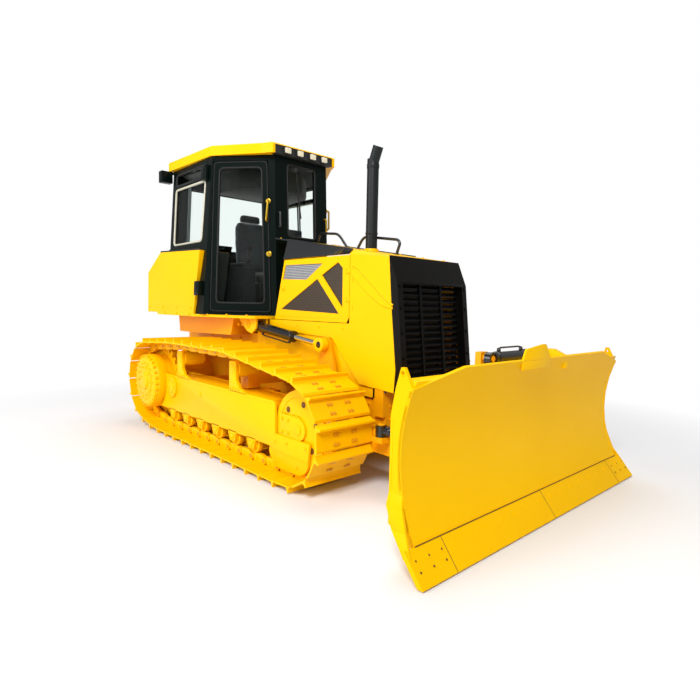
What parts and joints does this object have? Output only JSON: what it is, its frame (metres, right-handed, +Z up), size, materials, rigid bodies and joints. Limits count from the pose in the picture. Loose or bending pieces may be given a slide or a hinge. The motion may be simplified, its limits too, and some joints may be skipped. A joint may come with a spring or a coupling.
{
  "type": "crawler bulldozer",
  "caption": "Crawler bulldozer with an enclosed angular cab, a narrow sloping hood, steel tracks and a wide six-way blade on a C-shaped push frame.",
  "frame": {"origin": "on the ground under the middle of the overall box", "axes": "+X forward to the blade, +Y to the machine's left, +Z up"},
  "size_m": [4.7, 2.684, 2.86],
  "materials": {
    "body_yellow": "gloss",
    "frame_orange": "semi-gloss",
    "blade_yellow": "gloss",
    "cab_black": "semi-gloss",
    "grille_black": "satin",
    "surround_brown": "satin",
    "engine_grey": "matte",
    "exhaust_black": "satin",
    "cylinder_black": "gloss",
    "rod_chrome": "polished",
    "glass": "clear",
    "edge_steel": "semi-gloss",
    "seat_fabric": "woven",
    "trim_black": "matte"
  },
  "bodies": {
    "hull": {"main_frame": "frame_orange", "cross_bars": "frame_orange", "drawbar": "frame_orange", "deck": "frame_orange", "side_tank_right": "body_yellow", "side_tank_left": "body_yellow", "rear_tank": "body_yellow", "hood_top": "body_yellow", "front_cowl": "body_yellow", "nose_surround": "surround_brown", "grille": "grille_black", "engine": "engine_grey", "radiator": "engine_grey", "exhaust_stack": "exhaust_black", "cab_frame": "cab_black", "cab_glass": "glass", "roof": "body_yellow", "light_bar": "trim_black", "seat": "seat_fabric", "seat_base": "trim_black", "controls": "trim_black", "track_right": "body_yellow", "track_frame_right": "body_yellow", "sprocket_right": "body_yellow", "idler_right": "body_yellow", "rollers_right": "body_yellow", "track_left": "body_yellow", "track_frame_left": "body_yellow", "sprocket_left": "body_yellow", "idler_left": "body_yellow", "rollers_left": "body_yellow"},
    "blade_frame": {"c_frame": "body_yellow"},
    "yoke": {"blade_yoke": "body_yellow"},
    "blade": {"blade": "blade_yellow", "cutting_edge": "edge_steel"},
    "tilt_barrel": {"tilt_barrel": "cylinder_black"},
    "tilt_rod": {"tilt_rod": "rod_chrome"},
    "lift_barrel_right": {"lift_barrel_right": "cylinder_black"},
    "lift_rod_right": {"lift_rod_right": "rod_chrome"},
    "angle_barrel_right": {"angle_barrel_right": "cylinder_black"},
    "angle_rod_right": {"angle_rod_right": "rod_chrome"},
    "cab_door_right": {"cab_door_right": "cab_black", "door_glass_right": "glass"},
    "engine_door_right": {"engine_door_right": "body_yellow"},
    "lift_barrel_left": {"lift_barrel_left": "cylinder_black"},
    "lift_rod_left": {"lift_rod_left": "rod_chrome"},
    "angle_barrel_left": {"angle_barrel_left": "cylinder_black"},
    "angle_rod_left": {"angle_rod_left": "rod_chrome"},
    "cab_door_left": {"cab_door_left": "cab_black", "door_glass_left": "glass"},
    "engine_door_left": {"engine_door_left": "body_yellow"}
  },
  "joints": [
    {"name": "blade_lift", "type": "hinge", "parent": "hull", "child": "blade_frame", "pos_m": [-0.3, 0, 0.45], "axis": [0, -1, 0], "range_deg": [-9, 20]},
    {"name": "blade_angle", "type": "hinge", "parent": "blade_frame", "child": "yoke", "pos_m": [1.84, 0, 0.38], "axis": [0, 0, 1], "range_deg": [-25, 25]},
    {"name": "blade_tilt", "type": "hinge", "parent": "yoke", "child": "blade", "pos_m": [2.02, 0, 0.38], "axis": [1, 0, 0], "range_deg": [-8, 8]},
    {"name": "lift_barrel_right_swing", "type": "hinge", "parent": "hull", "child": "lift_barrel_right", "pos_m": [-0.4, -0.497, 1.145], "axis": [0, -1, 0], "range_deg": [-8.23, 17.69]},
    {"name": "lift_rod_right_stroke", "type": "slide", "parent": "lift_barrel_right", "child": "lift_rod_right", "axis": [0.9928, 0, -0.1202], "range_m": [-0.2437, 0.1119]},
    {"name": "angle_barrel_right_swing", "type": "hinge", "parent": "blade_frame", "child": "angle_barrel_right", "pos_m": [1.34, -0.59, 0.48], "axis": [0, 0, 1], "range_deg": [-1.44, 1.44]},
    {"name": "angle_rod_right_stroke", "type": "slide", "parent": "angle_barrel_right", "child": "angle_rod_right", "axis": [0.9306, 0.3661, 0], "range_m": [-0.1578, 0.1578]},
    {"name": "lift_barrel_left_swing", "type": "hinge", "parent": "hull", "child": "lift_barrel_left", "pos_m": [-0.4, 0.497, 1.145], "axis": [0, -1, 0], "range_deg": [-8.23, 17.69]},
    {"name": "lift_rod_left_stroke", "type": "slide", "parent": "lift_barrel_left", "child": "lift_rod_left", "axis": [0.9928, 0, -0.1202], "range_m": [-0.2437, 0.1119]},
    {"name": "angle_barrel_left_swing", "type": "hinge", "parent": "blade_frame", "child": "angle_barrel_left", "pos_m": [1.34, 0.59, 0.48], "axis": [0, 0, 1], "range_deg": [-1.44, 1.44]},
    {"name": "angle_rod_left_stroke", "type": "slide", "parent": "angle_barrel_left", "child": "angle_rod_left", "axis": [0.9306, -0.3661, 0], "range_m": [-0.1578, 0.1578]},
    {"name": "tilt_barrel_swing", "type": "hinge", "parent": "yoke", "child": "tilt_barrel", "pos_m": [2.03, -0.34, 1.035], "axis": [1, 0, 0], "range_deg": [-4.44, 4.44]},
    {"name": "tilt_rod_stroke", "type": "slide", "parent": "tilt_barrel", "child": "tilt_rod", "axis": [0, 1, 0], "range_m": [-0.0954, 0.0954]},
    {"name": "cab_door_right_hinge", "type": "hinge", "parent": "hull", "child": "cab_door_right", "pos_m": [-0.88083, -0.76661, 1.24], "axis": [-0.0262, -0.0524, -0.9983], "range_deg": [0, 90]},
    {"name": "engine_door_right_hinge", "type": "hinge", "parent": "hull", "child": "engine_door_right", "pos_m": [0.797, -0.421, 1.48], "axis": [0, 0, 1], "range_deg": [0, 90]},
    {"name": "cab_door_left_hinge", "type": "hinge", "parent": "hull", "child": "cab_door_left", "pos_m": [-0.88083, 0.76661, 1.24], "axis": [0.0262, -0.0524, 0.9983], "range_deg": [0, 90]},
    {"name": "engine_door_left_hinge", "type": "hinge", "parent": "hull", "child": "engine_door_left", "pos_m": [0.797, 0.421, 1.48], "axis": [0, 0, -1], "range_deg": [0, 90]}
  ],
  "couplings": [
    {"joint": "lift_barrel_right_swing", "follows": "blade_lift", "ratio": 0.85927},
    {"joint": "lift_rod_right_stroke", "follows": "blade_lift", "m_per_rad": -0.68673},
    {"joint": "angle_barrel_right_swing", "follows": "blade_angle", "ratio": -0.037762},
    {"joint": "angle_rod_right_stroke", "follows": "blade_angle", "m_per_rad": 0.35253},
    {"joint": "lift_barrel_left_swing", "follows": "blade_lift", "ratio": 0.85927},
    {"joint": "lift_rod_left_stroke", "follows": "blade_lift", "m_per_rad": -0.68673},
    {"joint": "angle_barrel_left_swing", "follows": "blade_angle", "ratio": -0.037762},
    {"joint": "angle_rod_left_stroke", "follows": "blade_angle", "m_per_rad": -0.35253},
    {"joint": "tilt_barrel_swing", "follows": "blade_tilt", "ratio": 0.49244},
    {"joint": "tilt_rod_stroke", "follows": "blade_tilt", "m_per_rad": -0.65468}
  ]
}
